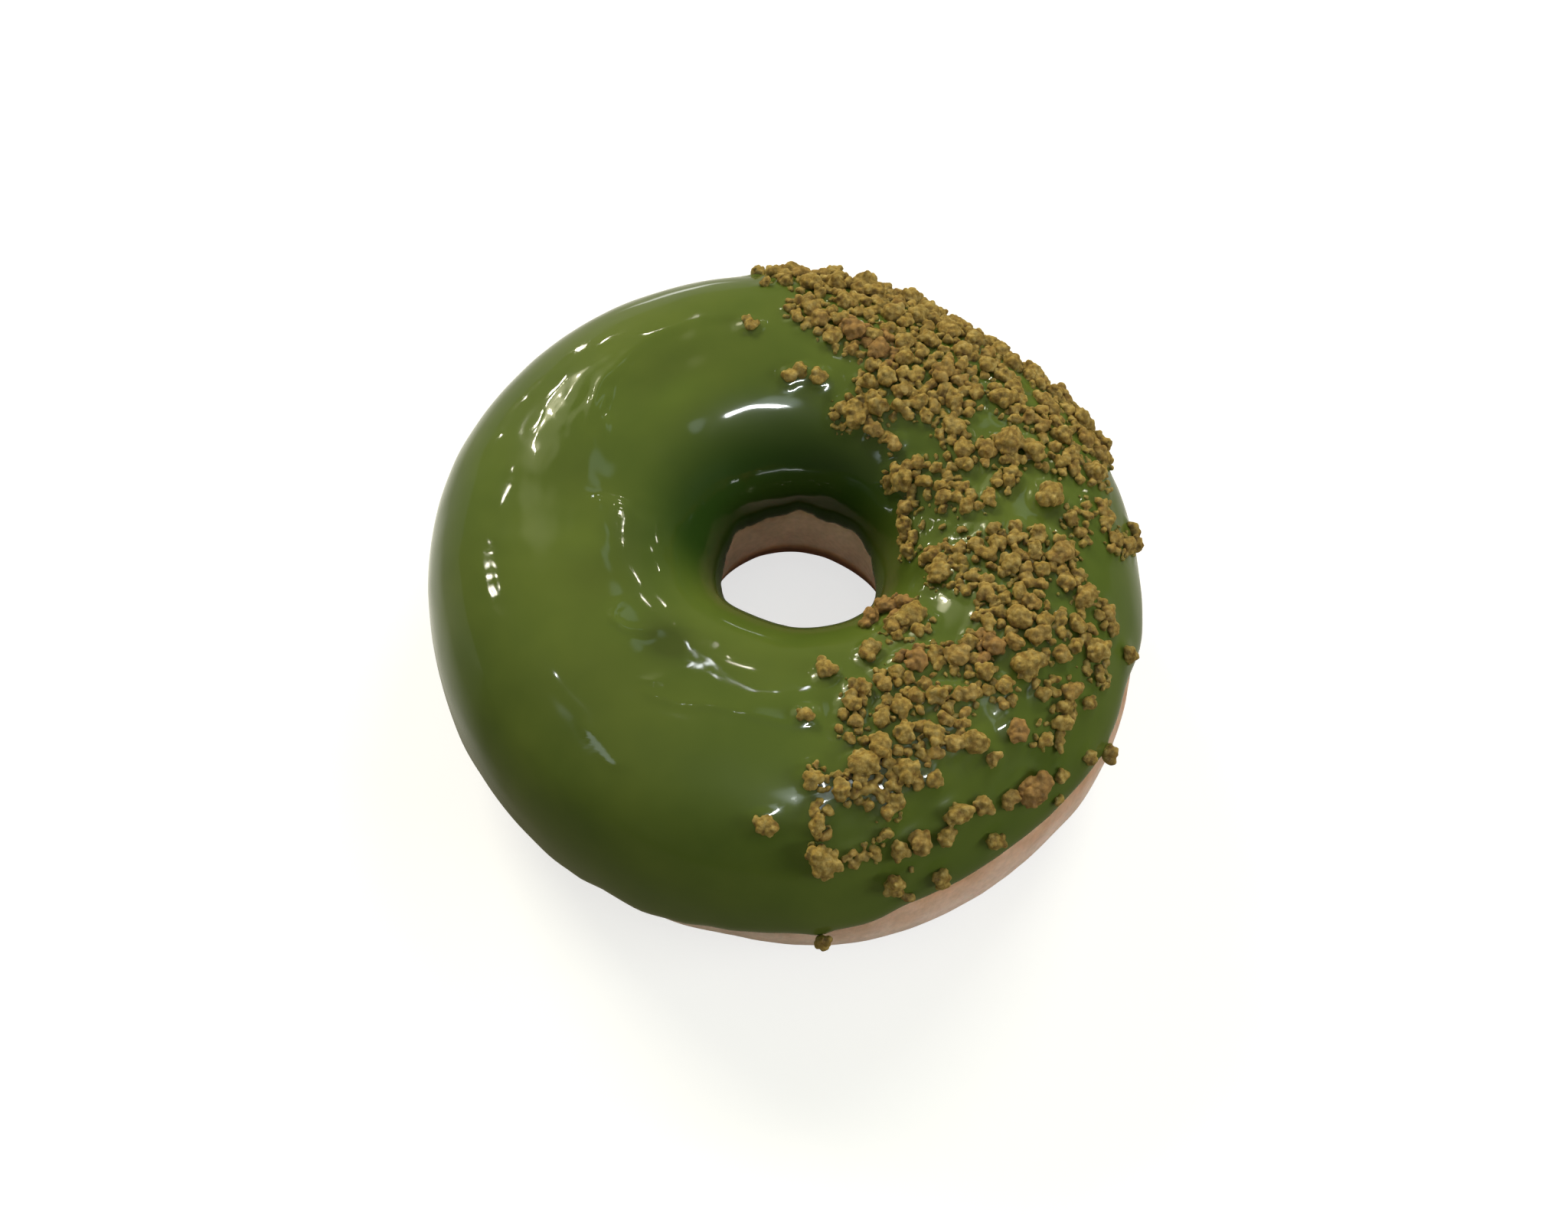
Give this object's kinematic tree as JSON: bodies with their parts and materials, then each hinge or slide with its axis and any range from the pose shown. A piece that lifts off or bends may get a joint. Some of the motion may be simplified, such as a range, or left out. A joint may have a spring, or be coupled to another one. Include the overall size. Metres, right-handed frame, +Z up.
{
  "type": "matcha doughnut",
  "caption": "Ring doughnut lying flat, coated in a smooth glossy green matcha icing, with golden baked crumbs over its right side and a band of bare dough along the lower edge.",
  "frame": {"origin": "the centre of the underside of the box round the whole doughnut, on the surface that it lies on", "axes": "+Z up through the hole, +X towards the side with the crumbs, which is the right of the picture, and +Y towards the back"},
  "size_m": [0.0892, 0.0908, 0.0361],
  "materials": {
    "dough": "matte",
    "icing": "glossy",
    "crumbs": "matte"
  },
  "bodies": {
    "root": {"dough": "dough", "icing": "icing"}
  },
  "joints": []
}
